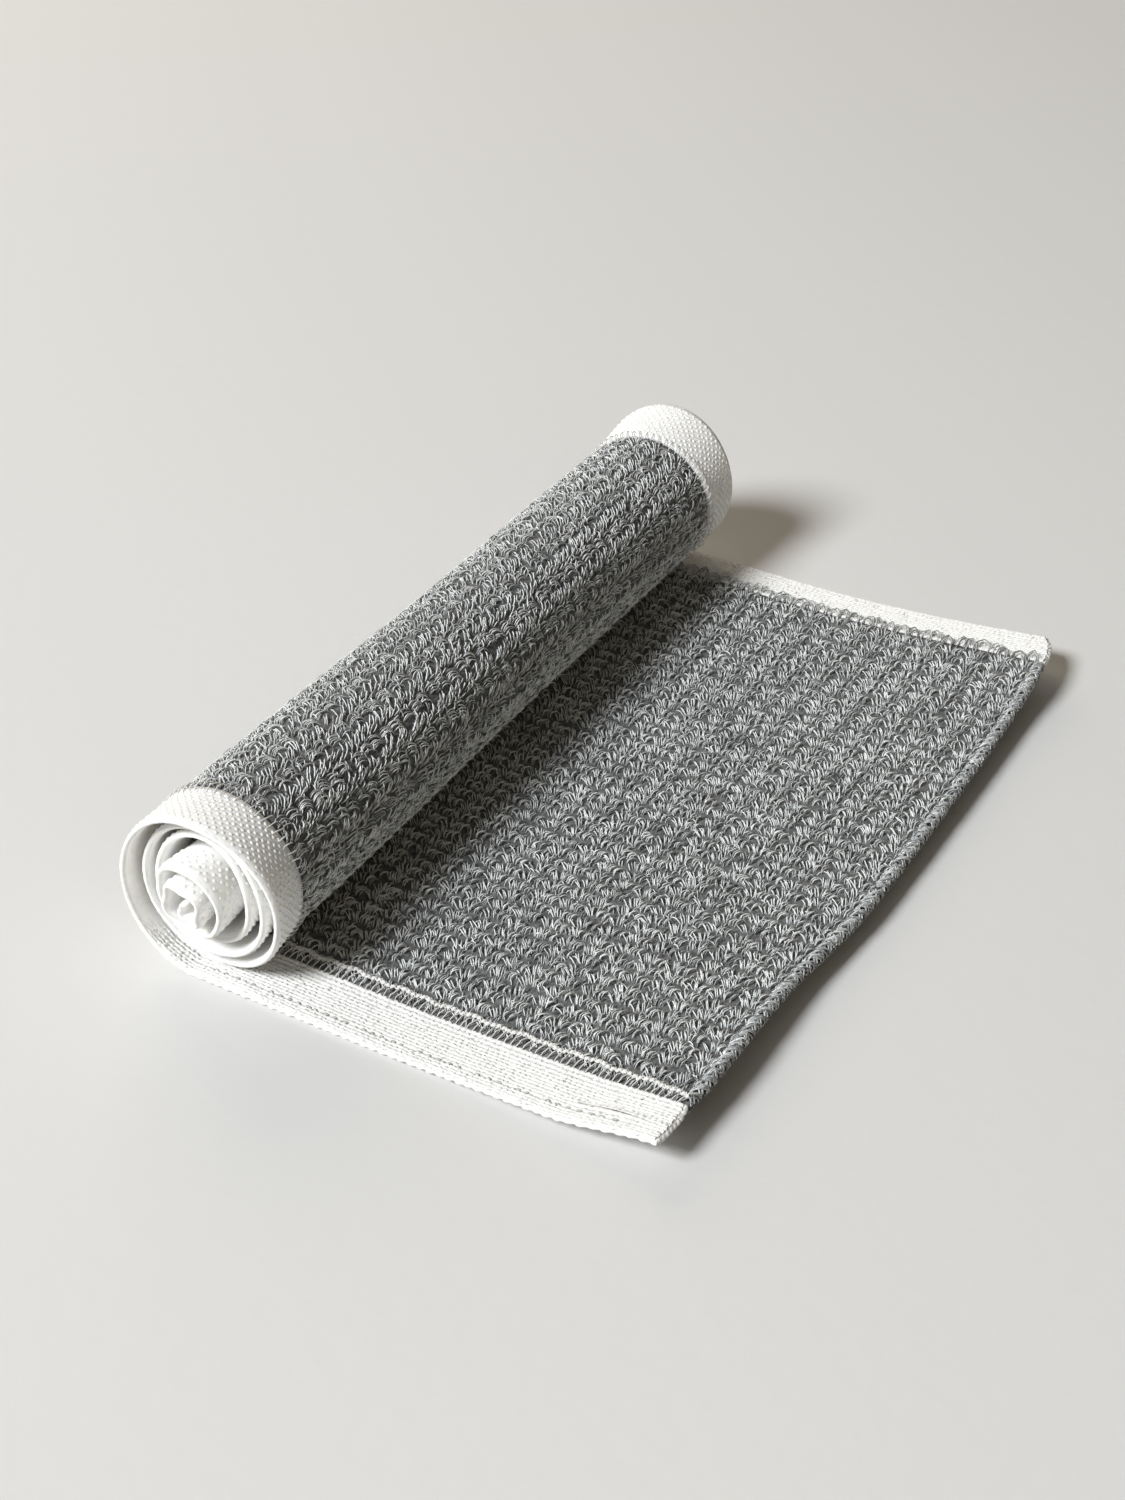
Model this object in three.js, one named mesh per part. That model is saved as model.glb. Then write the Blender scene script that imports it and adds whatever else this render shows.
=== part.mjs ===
// Rolled body scrub towel: a thick grey knitted field with a thin white border along each side,
// rolled up across its length, with the last stretch lying open in front of the roll.
// Millimetres, +Z up. X runs along the roll, the open flap points to -Y, and the floor is Z = 0.
// The origin is under the middle of the whole towel.
import * as THREE from 'three';
import { mergeVertices } from 'three/addons/utils/BufferGeometryUtils.js';

// Cut sizes of the cloth.
const CLOTH_WIDTH = 240;
const BORDER_WIDTH = 15.3;
const FIELD_THICK = 3.0;
const BORDER_THICK = 1.5;
const SEAM_GAP = 0.3;

// The roll. Its outer turn starts at the floor and winds inwards by one pitch a turn.
const ROLL_RADIUS = 22.8;
const TURN_PITCH = 3.8;
const BORDER_TURNS = 5.25;
const FLAT_SPOT = 0.4;
const ROLL_SKEW = 3.6;
const ROLL_WAVE = 0.3;

// The open flap, from under the roll to its free edge.
const FLAP_LENGTH = 128.8;
const EDGE_BOW = 2.6;
const CORNER_PULL = 4.0;
const EDGE_LIFT = 6.0;
const FAR_CORNER_LIFT = 2.0;
const FLAT_SHARE = 0.34;
const HEM_SWELL = 0.8;
const HEM_LENGTH = 7;

// How far each side edge of the flap leans along X between the roll and the free edge.
const NEAR_LEAN = { atRoll: 0, straight: -1.5, curved: -4.0 };
const FAR_LEAN = { atRoll: 2.5, straight: -8.0, curved: -2.5 };

// Where the roll's axis and the middle of the towel lie from the origin.
const ROLL_Y = 51.53;
const MIDDLE_X = 1.5;

// How deep the border's outer edge sits behind the end of the roll, turn by turn.
// A minus says that the edge stands out past the end, as the innermost coil does.
const NEAR_END = [
  { turn: 1, back: 0, top: 0, front: 2.5, under: 6 },
  { turn: 2, back: 5.5, top: 5, front: 3, under: 5 },
  { turn: 3, back: 5, top: 4.5, front: 2, under: 3 },
  { turn: 4, back: 0, top: -3.5, front: -3, under: -1 },
  { turn: 5, back: -2, top: -3, front: -2, under: 0 },
  { turn: 6, back: 1, top: 2, front: 2, under: 2 },
];
const FAR_END = [
  { turn: 1, back: 0, top: 0, front: 1, under: 1.5 },
  { turn: 2, back: 2, top: 2, front: 2.5, under: 3 },
  { turn: 3, back: 3, top: 3.5, front: 3.5, under: 4 },
  { turn: 4, back: 4, top: 4, front: 4, under: 4.5 },
  { turn: 5, back: 5, top: 5, front: 5, under: 5 },
  { turn: 6, back: 5, top: 5, front: 5, under: 5 },
];

// How far the outer edge of each rolled border flares away from the roll at its top.
const NEAR_FLARE = 0.3;
const FAR_FLARE = 2.2;

// Finish of each cloth.
const GREY_KNIT = { color: 0x85888a, roughness: 0.95, metalness: 0 };
const WHITE_MESH = { color: 0xf2f1ec, roughness: 0.9, metalness: 0 };

const HALF_WIDTH = CLOTH_WIDTH / 2;
const FIELD_EDGE = HALF_WIDTH - BORDER_WIDTH - SEAM_GAP / 2;
const BORDER_EDGE = HALF_WIDTH - BORDER_WIDTH + SEAM_GAP / 2;
const ROLL_HEIGHT = ROLL_RADIUS - FLAT_SPOT;
const FULL_TURN = 2 * Math.PI;
const WEDGE_ANGLE = 0.95 * FULL_TURN;

// Steps of the meshes.
const FLAP_STEPS = 18;
const ROLL_STEPS = 40;
const FIELD_STATIONS = 18;
const BORDER_STEPS_A_TURN = 20;
const BORDER_STATIONS = 3;

// Places are given across the cloth by "across", from -1 at its near side to 1 at its far side,
// and along the flap by "along", from 0 under the roll to 1 at the free edge.

// How far a point of the flap stands off the floor: the free edge curls up a little.
function liftAt(across, along) {
  const rise = Math.max(0, (along - FLAT_SHARE) / (1 - FLAT_SHARE)) ** 1.8;
  const height = EDGE_LIFT + FAR_CORNER_LIFT * Math.max(0, across) ** 2;
  return height * rise;
}

// Shift along X of a point of the flap.
function leanAt(across, along) {
  const lean = (side) => side.atRoll + side.straight * along + side.curved * along ** 3;
  return THREE.MathUtils.lerp(lean(NEAR_LEAN), lean(FAR_LEAN), (across + 1) / 2);
}

// The roll's axis is a little askew to the free edge.
function rollAxisY(across) {
  return ROLL_SKEW * across;
}

// The free edge bows out in the middle and draws in at its corners.
function freeEdgeY(across) {
  return -FLAP_LENGTH + EDGE_BOW * across ** 2 + CORNER_PULL * across ** 12;
}

function flapY(across, along) {
  return THREE.MathUtils.lerp(rollAxisY(across), freeEdgeY(across), along);
}

// Outer radius of the cloth after winding through an angle from the floor.
function windingRadius(across, angle) {
  const wave = ROLL_WAVE * Math.sin(5 * across + 2 * angle) * Math.min(1, angle);
  return ROLL_RADIUS - (TURN_PITCH * angle) / FULL_TURN + wave;
}

// A point of the roll's section: angle 0 is at the floor, a quarter turn is at the back.
function rollPoint(across, angle, radius) {
  const y = rollAxisY(across) + radius * Math.sin(angle);
  const z = Math.max(0, ROLL_HEIGHT - radius * Math.cos(angle));
  return { y, z };
}

// The knitted edge of the field is a little fuller than the rest.
function fieldThickness(along) {
  const fromEdge = (1 - along) * FLAP_LENGTH;
  return FIELD_THICK + HEM_SWELL * Math.exp(-((fromEdge / HEM_LENGTH) ** 2));
}

// Outline of the field at one station: along the flap's top, round the roll, back along the floor.
function fieldSection(across) {
  const wedge = rollPoint(across, WEDGE_ANGLE, windingRadius(across, WEDGE_ANGLE));
  const wedgeAlong = (rollAxisY(across) - wedge.y) / (rollAxisY(across) - freeEdgeY(across));
  const top = [];
  const under = [];
  for (let i = 0; i <= FLAP_STEPS; i += 1) {
    const along = THREE.MathUtils.lerp(1, wedgeAlong, i / FLAP_STEPS);
    const y = flapY(across, along);
    const z = liftAt(across, along);
    top.push({ along, y, z: z + fieldThickness(along) });
    under.unshift({ along, y, z });
  }
  const roll = [];
  for (let i = 0; i < ROLL_STEPS; i += 1) {
    const angle = WEDGE_ANGLE * (1 - i / ROLL_STEPS);
    roll.push({ along: 0, ...rollPoint(across, angle, windingRadius(across, angle)) });
  }
  roll.push({ along: 0, y: rollAxisY(across), z: 0 });
  return [...top, ...roll, ...under];
}

// Turns a list of corners and a list of triangles into a closed mesh geometry.
function closedGeometry(corners, triangles) {
  const geometry = new THREE.BufferGeometry();
  geometry.setAttribute('position', new THREE.Float32BufferAttribute(corners.flat(), 3));
  geometry.setIndex(triangles.flat());
  return geometry;
}

// Triangles that close one end of the field, seen from +X: quads across the flap, a disc on the roll.
function endTriangles(ring) {
  const count = ring.length;
  const triangles = [];
  for (let i = 0; i < FLAP_STEPS; i += 1) {
    const below = count - 1 - i;
    triangles.push([i, below, below - 1], [i, below - 1, i + 1]);
  }
  const disc = ring.slice(FLAP_STEPS, count - FLAP_STEPS).map((p) => new THREE.Vector2(p.y, p.z));
  THREE.ShapeUtils.triangulateShape(disc, []).forEach((corner) => {
    triangles.push(corner.map((i) => i + FLAP_STEPS));
  });
  return triangles;
}

// The field: one solid of its wound form, running on into the flap.
function fieldGeometry() {
  const rings = [];
  for (let station = 0; station <= FIELD_STATIONS; station += 1) {
    const u = THREE.MathUtils.lerp(-FIELD_EDGE, FIELD_EDGE, station / FIELD_STATIONS);
    const across = u / HALF_WIDTH;
    rings.push(fieldSection(across).map((p) => ({ ...p, x: u + leanAt(across, p.along) })));
  }
  const count = rings[0].length;
  const triangles = [];
  for (let station = 0; station < FIELD_STATIONS; station += 1) {
    for (let i = 0; i < count; i += 1) {
      const here = station * count + i;
      const next = station * count + ((i + 1) % count);
      triangles.push([here, here + count, next + count], [here, next + count, next]);
    }
  }
  const last = FIELD_STATIONS * count;
  endTriangles(rings[0]).forEach(([a, b, c]) => triangles.push([a, c, b]));
  endTriangles(rings[FIELD_STATIONS]).forEach(([a, b, c]) => {
    triangles.push([last + a, last + b, last + c]);
  });
  const corners = rings.flat().map((p) => [MIDDLE_X + p.x, ROLL_Y + p.y, p.z]);
  return facingOut(closedGeometry(corners, triangles));
}

// Six times the volume that the triangles enclose, below zero where they face inwards.
function signedVolume(geometry) {
  const place = geometry.getAttribute('position');
  const index = geometry.getIndex();
  const a = new THREE.Vector3();
  const b = new THREE.Vector3();
  const c = new THREE.Vector3();
  let sum = 0;
  for (let i = 0; i < index.count; i += 3) {
    a.fromBufferAttribute(place, index.getX(i));
    b.fromBufferAttribute(place, index.getX(i + 1));
    c.fromBufferAttribute(place, index.getX(i + 2));
    sum += a.dot(b.cross(c));
  }
  return sum;
}

function facingOut(geometry) {
  if (signedVolume(geometry) < 0) {
    const index = geometry.getIndex();
    for (let i = 0; i < index.count; i += 3) {
      const second = index.getX(i + 1);
      index.setX(i + 1, index.getX(i + 2));
      index.setX(i + 2, second);
    }
  }
  return geometry;
}

// Depth of the border's edge behind the end of the roll, eased between the table's places.
function endDepth(table, angle) {
  const places = table.flatMap((row) => [row.back, row.top, row.front, row.under]);
  const quarter = Math.max(0, angle / (FULL_TURN / 4) - 1);
  const before = Math.min(places.length - 1, Math.floor(quarter));
  const after = Math.min(places.length - 1, before + 1);
  const ease = THREE.MathUtils.smoothstep(quarter - before, 0, 1);
  return THREE.MathUtils.lerp(places[before], places[after], ease);
}

// A white border: one thin strip along the flap's side, then wound up with the field.
// side is -1 for the near border and 1 for the far one.
function borderGeometry(side, endTable, flare) {
  const rollSteps = Math.round(BORDER_TURNS * BORDER_STEPS_A_TURN);
  const steps = FLAP_STEPS + rollSteps;
  const box = new THREE.BoxGeometry(steps, 1, 1, steps, BORDER_STATIONS, 1);
  box.deleteAttribute('normal');
  box.deleteAttribute('uv');
  const geometry = mergeVertices(box);
  const place = geometry.getAttribute('position');
  for (let i = 0; i < place.count; i += 1) {
    const step = Math.round(place.getX(i) + steps / 2);
    const outwards = place.getY(i) + 0.5;
    const layer = place.getZ(i) * BORDER_THICK;
    const u = side * THREE.MathUtils.lerp(BORDER_EDGE, HALF_WIDTH, outwards);
    const across = u / HALF_WIDTH;
    if (step <= FLAP_STEPS) {
      const along = 1 - step / FLAP_STEPS;
      const z = liftAt(across, along) + BORDER_THICK / 2 + layer;
      place.setXYZ(i, MIDDLE_X + u + leanAt(across, along), ROLL_Y + flapY(across, along), z);
    } else {
      const angle = ((step - FLAP_STEPS) / BORDER_STEPS_A_TURN) * FULL_TURN;
      const depth = endDepth(endTable, angle) * outwards;
      const radius = windingRadius(across, angle) - BORDER_THICK / 2 - layer;
      const p = rollPoint(across, angle, radius);
      const spread = (flare * outwards * (1 - Math.cos(angle))) / 2;
      place.setXYZ(i, MIDDLE_X + u + leanAt(across, 0) - side * depth, ROLL_Y + p.y, p.z + spread);
    }
  }
  return facingOut(geometry);
}

function cloth(name, geometry, finish) {
  const mesh = new THREE.Mesh(geometry, new THREE.MeshStandardMaterial(finish));
  mesh.name = name;
  return mesh;
}

const towel = new THREE.Group();
towel.add(cloth('field', fieldGeometry(), GREY_KNIT));
towel.add(cloth('border_near', borderGeometry(-1, NEAR_END, NEAR_FLARE), WHITE_MESH));
towel.add(cloth('border_far', borderGeometry(1, FAR_END, FAR_FLARE), WHITE_MESH));

export default towel;
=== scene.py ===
"""Rolled body scrub towel: a grey knitted field with white mesh borders, on a pale floor.

The cloth is laid out once, by its place across the towel and along it, on the flap or in the
roll. The sheets, the knitted strands, the dots and the edges are all placed by that layout.
Sizes are in millimetres until a mesh is made.
"""
import math
import bpy
import numpy as np
from mathutils import Matrix, Vector


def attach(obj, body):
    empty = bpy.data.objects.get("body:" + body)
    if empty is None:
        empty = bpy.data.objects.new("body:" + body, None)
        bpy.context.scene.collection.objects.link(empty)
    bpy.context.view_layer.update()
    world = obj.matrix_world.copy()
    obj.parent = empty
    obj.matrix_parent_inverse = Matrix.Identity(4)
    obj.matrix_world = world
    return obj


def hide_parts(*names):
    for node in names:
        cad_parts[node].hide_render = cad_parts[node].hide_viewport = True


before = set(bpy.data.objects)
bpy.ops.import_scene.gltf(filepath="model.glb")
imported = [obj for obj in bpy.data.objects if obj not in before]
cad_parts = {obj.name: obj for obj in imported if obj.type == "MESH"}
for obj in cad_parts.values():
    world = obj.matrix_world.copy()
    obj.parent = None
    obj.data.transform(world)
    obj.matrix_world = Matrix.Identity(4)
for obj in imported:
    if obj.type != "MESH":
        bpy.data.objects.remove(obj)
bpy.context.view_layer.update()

MM = 0.001
TINY = 1e-9

# The cloth, as the model has it.
CLOTH_WIDTH = 240.0
HALF_WIDTH = CLOTH_WIDTH / 2
FLAP_LENGTH = 128.8
FULL_TURN = 2 * math.pi

# The roll: its outer radius, the fall of the radius in a turn, and where its axis lies. The axis is
# turned, so its far end lies back by ROLL_SKEW and its near end forward. The surface waves a little.
ROLL_RADIUS = 22.8
TURN_PITCH = 3.8
ROLL_TURNS = 5.25
ROLL_ANGLE = ROLL_TURNS * FULL_TURN
ROLL_HEIGHT = 22.4
ROLL_Y = 51.53
ROLL_SKEW = 3.6
ROLL_WAVE = 0.3
ROLL_WAVES_ACROSS = 5
ROLL_WAVES_ROUND = 2
MIDDLE_X = 1.5

# The flap lies flat for FLAT_SHARE of its length, and then rises to its free edge, except where the
# middle of that edge has settled to the floor. Ranges are shares of half the width, from the middle.
FLAT_SHARE = 0.34
RISE_POWER = 1.8
EDGE_LIFT = 6.0
FAR_CORNER_LIFT = 2.0
SETTLED_DROP = 2.5
SETTLED_PULL = 0.8
SETTLED_NEAR = (-0.75, -0.2)
SETTLED_FAR = (0.62, 0.92)

# The free edge isn't straight: how far it bows, its corners draw back, and its near half is pulled in.
EDGE_BOW = 2.6
CORNER_PULL = 4.0
NEAR_EDGE_PULL = 2.8
NEAR_PULL_START = (0.12, 0.5)
NEAR_PULL_END = (0.55, 0.9)
NEAR_PULL_EASE = 0.35

# How far each side of the flap is drawn along x: by the roll, and then with the share of the flap's
# length and with its cube.
NEAR_LEAN = (0.0, -1.5, -4.0)
FAR_LEAN = (2.5, -8.0, -2.5)

# The white borders. In the roll they thicken by ROLLED_EXTRA, over a range of length. Their outer rim
# is rounded, from a share of the width on. Their rows of knots are spaced over ROWS_WIDTH.
BORDER_THICK = 1.3
ROLLED_EXTRA = 0.35
THICKER_FROM = (10, 80)
ROWS_WIDTH = 15.3
RIM_ROUNDING = 0.25
RIM_SHARE = 0.93

# Depth of a border's outer edge behind the end of the roll: back, top, front and under, turn by turn.
NEAR_END = [
    (0, 0, 2, 5),
    (3.5, 4, 2, 3),
    (4, 4.5, 2, 3),
    (0, -3.5, -3, -1),
    (-3, -5, -5, -3),
    (-3, -3, -3, -3),
]
FAR_END = [
    (0, -1.2, 0.6, 1.5),
    (2, 2, 2.5, 3),
    (3, 3.5, 3.5, 4),
    (4, 4, 4, 4.5),
    (5, 5, 5, 5),
    (5, 5, 5, 5),
]
# How far the same edge stands out from its turn of the roll. It starts over a range of the winding
# angle. FLARE lifts the edge most at the top of the roll.
NEAR_SPREAD = [
    (0, 0.2, 2.2, 0.8),
    (0.2, 0.4, 2.2, 0.8),
    (0.6, 1.8, 2.0, 0.8),
    (1.0, 1.2, 1.4, 0.8),
    (1.2, 0.8, 0.8, 0.4),
    (0.2, 0, 0, 0),
]
FAR_SPREAD = [
    (0.4, 1.8, 0.8, 0),
    (0, 0.6, 0.6, 0),
    (0, 0, 0, 0),
]
SPREAD_START = (0.3, 1.5)
NEAR_FLARE = 0.3
FAR_FLARE = 2.2

# The borders' innermost turns are crumpled: how much, from which turn to which, and in what waves.
CRUMPLE = 0.55
CRUMPLE_TURNS = (3.4, 4.4)
CRUMPLE_WAVES = 4.3
CRUMPLE_SLANT = 2

# The corners of the borders at the free edge. NEAR_CORNER draws the near one inwards (x), past the
# grey (y) and up (z), and FAR_CORNER draws the far one back. REACH is how far from the edge it starts.
NEAR_CORNER = (2.6, -3.2, 0.8)
NEAR_CORNER_REACH = 26
NEAR_JUNCTION_LIFT = 0.9
FAR_CORNER = 1.5
FAR_CORNER_REACH = 10

# A crease along the border by the near corner: its height, its place and width as shares of the
# border, and its distance from the free edge and length.
CREASE_HEIGHT = 0.9
CREASE_PLACE = 0.62
CREASE_WIDTH = 0.1
CREASE_FROM_EDGE = 12
CREASE_LENGTH = 9

# The white rises to the grey's thickness where they meet.
JUNCTION_RISE = 1.0
JUNCTION_RISE_WIDTH = 0.25
JUNCTION_RISE_START = 12

# Where grey meets white, and the line that the rungs hang from, from the middle of the cloth.
JUNCTION = 105.4
BEADED_LINE = 102.4

# The grey ground under the knit: how high its faces lie on the flap, at its rounded rim and in the roll.
FLAP_BASE = 2.2
ROLL_BASE = 0.9
GROUND_FLOOR = 0.05
GROUND_INNER = 3.3
GROUND_RIM = (1.1, 1.2)
GROUND_RIM_LENGTH = 1.6
GROUND_INTO_ROLL = (2, 20)

# The knit: one cell is a fan of strands and, below it, two rows of arcs. It starts and ends a little
# way from the free edge and from where the cloth leaves the floor, and goes round most of a turn.
CELL_WIDTH = 4.35
CELL_LENGTH = 7.3
KNIT_FROM_EDGE = 2.2
KNIT_BEFORE_ROLL = 2.0
KNIT_INTO_ROLL = 7.0
LAST_KNIT_TURN = 0.93
STRAND_RADIUS = 0.176
STRAND_THINNING = 0.35

# How far cells and strands stray, in millimetres, but CELL_TURN in radians, FAN_ANGLE in degrees,
# ARC_SLOPE as a slope and CELL_SHADE as a tone. FAN_BOW is a mean and a spread.
CELL_WOBBLE = 0.27
CELL_TURN = 0.09
CELL_SHADE = 0.07
FAN_FOOT = 0.22
FAN_ANGLE = 10
FAN_LENGTH = 0.35
FAN_BOW = (0.06, 0.1)
FAN_HEIGHT = 0.08
ARC_FOOT = 0.2
ARC_BULGE = 0.12
ARC_RISE = 0.1
ARC_SLIDE = 0.2
ARC_SLOPE = 0.07

# How much lower each strand of a row of arcs lies than the one before.
ARC_SINK = 0.1

# Where the loose strands of a cell may lie, how long they are and how deep their ends go.
LOOSE_P = (-2, 2)
LOOSE_Q = (-4.4, 2.9)
LOOSE_LENGTH = (2.2, 3.4)
LOOSE_DEPTH = 3.2

# Tone of the strands: the mean of each kind and its spread, how much paler the raised middle of a
# strand is, as painted light, and how much darker its ends are where they go into the cloth, as
# painted shade.
FAN_TONE = (0.74, 0.18)
ARC_TONE = (0.66, 0.18)
LOOSE_TONE = (0.55, 0.26)
WHITE_TONE = 0.9
PAINTED_LIGHT_MIDDLE = 0.10
PAINTED_SHADE_ENDS = 0.30

# How the strands of a cell lie, on the open flap and drawn tight round the roll, in millimetres and
# degrees. p runs across the cell, q along it and g out of it. Pairs give the first and last strand,
# "climb" the heights along a strand, "arc_rows" the foot and the strands of each row of arcs, and
# "bulge" that of the first strand and what each next one adds.
# "lighter" lifts the tone of every strand; the roll's lift is larger than the flap's, and that extra is
# painted light on the roll.
FLAP_LOOK = {
    "lighter": 0.1,
    "fan_strands": 8,
    "feet_p": (-1.8, -0.4),
    "feet_q": (0.9, -1.3),
    "fan_angles": (50, 12),
    "fan_length": 2.8,
    "climb": (-0.2, 0.4, 0.75, 0.85, 0.6),
    "arc_rows": ((-4.4, 3), (-2.6, 3)),
    "arc_step": 0.2,
    "bulge": (0.15, 0.22),
    "arc_rise": 1.2,
    "arc_slope": -0.52,
    "arc_half": 1.5,
    "arc_dip": -0.3,
    "loose_strands": 7,
    "loose_angles": (-35, 70),
    "loose_height": 0.55,
}
ROLL_LOOK = {
    "lighter": 0.155,
    "fan_strands": 6,
    "feet_p": (-2.2, 1.0),
    "feet_q": (0.9, -1.1),
    "fan_angles": (56, 26),
    "fan_length": 2.8,
    "climb": (0.0, 0.5, 0.72, 0.75, 0.5),
    "arc_rows": ((-4.7, 3), (-2.9, 2)),
    "arc_step": 0.5,
    "bulge": (0.85, 0.1),
    "arc_rise": 0.75,
    "arc_slope": -0.27,
    "arc_half": 2.15,
    "arc_dip": -0.1,
    "loose_strands": 9,
    "loose_angles": (5, 80),
    "loose_height": 0.68,
}

# Camera: its place in millimetres, its direction in degrees, and its lens and sensor.
CAMERA_PLACE = (-430.49, -228.86, 327.67)
CAMERA_AZIMUTH = -59.84
CAMERA_ELEVATION = 32.91
CAMERA_LENS = 54.41
SENSOR = 36.0

# The beaded edge of the borders: its place as a share of the border, its waves on the flap, each a
# height as such a share and a pitch, and how its beads swell. END is the same for the cloth's end.
EDGE_PLACE = 0.985
EDGE_RADIUS = 0.6
EDGE_WAVES = [(0.011, 2.8), (0.006, 4.7)]
EDGE_STEP = 0.5
EDGE_BEADS = 2.8
EDGE_SWELL = 0.06
END_STEP = 0.025
END_BEADS = 0.11
END_SWELL = 0.1
END_WAVE = 0.25
END_WAVE_PITCH = 1.9

# The looped free edge, and the strands where grey meets white.
STRAND_STRAY = 0.1
STRAND_TONE_SPREAD = 0.15
PLAIT_PITCH = 3.1
PLAIT_RADIUS = 0.21
RUNG_PITCH = 1.75
RUNG_RADIUS = 0.18
NEAR_STITCH_PITCH = 1.9
FAR_STITCH_PITCH = 2.1
STITCH_RADIUS = 0.2
LOOP_RADIUS = 0.22
ONCE = [(0, 0, 0)]

# The white line that the rungs hang from is three strands: how far each swings, its pitch and radius.
LOOPED_LINES = [(0.15, 1.45, 0.3), (0.6, 1.45, 0.22), (0.5, 1.9, 0.22)]

# Rows of knots on the flap's borders, from where they meet the grey, and dark discs of painted shade
# for the hollows between them: a dotted line, strays and one slit. On the near side the rows go on
# into the roll, and sink there.
LINE_PLACES = (0.7, 1.75, 2.8, 3.85, 4.9, 5.95, 7.0, 8.05, 9.1, 10.15, 11.2, 12.55, 13.5, 14.4)
LINES_LAST = 26.0
LINES_SINK = 0.75
LINES_SINK_START = 7
LINE_RADIUS = 0.56
LINE_STEP = 0.4
LINE_WOBBLE = 0.13
LINE_WOBBLE_PITCH = 1.7
LINE_STRAY = 0.1
LINE_RELIEF = 0.06
LINE_SWELL = 0.1
LINE_UNEVEN = 0.08
KNOT_PITCH = 1.45
HOLE_LINE = 11.88
HOLE_ROWS = (2.28, 4.38, 5.43, 7.52, 9.62, 13.05)
HOLE_PITCH = 2.8
HOLE_SHARE = 0.85
HOLE_SIDES = 8
NEAR_STRAYS = 26
FAR_STRAYS = 12
SLIT_PLACE = 9.9
SLIT_FROM_EDGE = 13
SLIT_HALF = 9.5

# Raised knots on the outer face of the rolled borders. The inner turns only show their outer columns.
DOT_PITCH = 2.25
DOT_RADIUS = 0.55
DOT_HEIGHT = 0.25
DOT_SIDES = 6
DOT_MARGIN = 1.2
FIRST_DOT = 0.6
DOT_STRAY_ALONG = 0.09
DOT_STRAY_ACROSS = 0.05
INSIDE_FIRST_COLUMN = 3

# Colours of the yarn, from dark to light tones, and of the ground, which is grey cloth kept dark as
# painted shade between the strands. Fibres vary along each strand.
YARN_COLOURS = [
    (0.0, (0.05, 0.051, 0.053)),
    (0.35, (0.225, 0.236, 0.243)),
    (0.7, (0.53, 0.552, 0.563)),
    (1.0, (0.86, 0.89, 0.90)),
]
GROUND_SHADE_COLOURS = [(0.3, (0.05, 0.05, 0.052)), (0.75, (0.20, 0.205, 0.21))]
FIBRE_SCALE = 1500
FIBRE_CONTRAST = 0.9
# The colour of the dark discs that stand for hollows in the white mesh: painted shade.
HOLE_SHADE_COLOUR = (0.52, 0.51, 0.49, 1)

# Colours of the floor, before and behind the towel, the way from one to the other, and its size.
# The change from front to back is painted light, for the uneven light of the room.
FLOOR_FRONT = (0.59, 0.590, 0.592)
FLOOR_BACK = (0.738, 0.741, 0.75)
FLOOR_LIGHT_SLOPE = (-0.2, 0.5, 0.0)
FLOOR_HALF = 4000.0
FLOOR_GAP = 0.05

# The room's own light, and its lamps: name, direction, distance in metres, size, power and colour.
ROOM_COLOUR = (1.0, 0.88, 0.68, 1)
ROOM_STRENGTH = 0.045
LAMPS = [
    ("window", (-0.90, 0.44, 0.90), 4.0, 1.4, 198, (0.985, 1.0, 1.0)),
    ("ceiling", (0.25, 0.0, 1.0), 3.0, 2.4, 4, (1.0, 0.95, 0.86)),
    ("room_bounce", (-0.56, -0.66, 0.5), 2.5, 1.5, 6, (1.0, 0.88, 0.68)),
    ("far_bounce", (0.6, 0.75, 0.5), 2.5, 1.6, 18, (1.0, 0.87, 0.67)),
]


def smooth(value, low, high):
    """Eased step from 0 at low to 1 at high."""
    t = np.clip((value - low) / (high - low), 0, 1)
    return t * t * (3 - 2 * t)


def lerp(a, b, t):
    """The value t of the way from a to b."""
    return a + (b - a) * t


# Layout of the cloth. "u" runs across from -120 to 120, "s" along it: below zero on the flap,
# zero where the cloth leaves the floor, above zero in the roll. "h" is the height over the face
# that lies on the floor, which is the outer face of the roll.

def settled(across):
    """How far the middle of the free edge has settled to the floor: 1 there, 0 by the corners."""
    return smooth(across, *SETTLED_NEAR) * (1 - smooth(across, *SETTLED_FAR))


def lift_at(across, along):
    """Height of the flap over the floor."""
    rise = np.maximum(0, (along - FLAT_SHARE) / (1 - FLAT_SHARE)) ** RISE_POWER
    corners = EDGE_LIFT + FAR_CORNER_LIFT * np.maximum(0, across) ** 2
    return (corners - SETTLED_DROP * settled(across)) * rise


def lean_at(across, along):
    """How far the flap is drawn along x there."""
    def side(lean):
        return lean[0] + lean[1] * along + lean[2] * along**3

    return lerp(side(NEAR_LEAN), side(FAR_LEAN), (across + 1) / 2)


def free_edge_y(across):
    """Place of the free edge, from the line where the cloth leaves the floor."""
    eased = 1 - NEAR_PULL_EASE * smooth(-across, *NEAR_PULL_END)
    near_pull = smooth(-across, *NEAR_PULL_START) * eased
    bow = EDGE_BOW * across**2 + CORNER_PULL * across**12
    return -FLAP_LENGTH + bow + SETTLED_PULL * settled(across) + NEAR_EDGE_PULL * near_pull


def angle_at(s):
    """Winding angle after a length of cloth has gone up into the roll."""
    shrink = TURN_PITCH / FULL_TURN
    return (ROLL_RADIUS - np.sqrt(np.maximum(0, ROLL_RADIUS**2 - 2 * shrink * s))) / shrink


def length_at(angle):
    """Length of cloth that is wound up by that angle."""
    return ROLL_RADIUS * angle - TURN_PITCH * angle**2 / (2 * FULL_TURN)


def winding_radius(across, angle):
    """Radius of the roll at that angle, where the face that lies on the floor runs."""
    phase = ROLL_WAVES_ACROSS * across + ROLL_WAVES_ROUND * angle
    wave = ROLL_WAVE * np.sin(phase) * np.minimum(1, angle)
    return ROLL_RADIUS - TURN_PITCH * angle / FULL_TURN + wave


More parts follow.
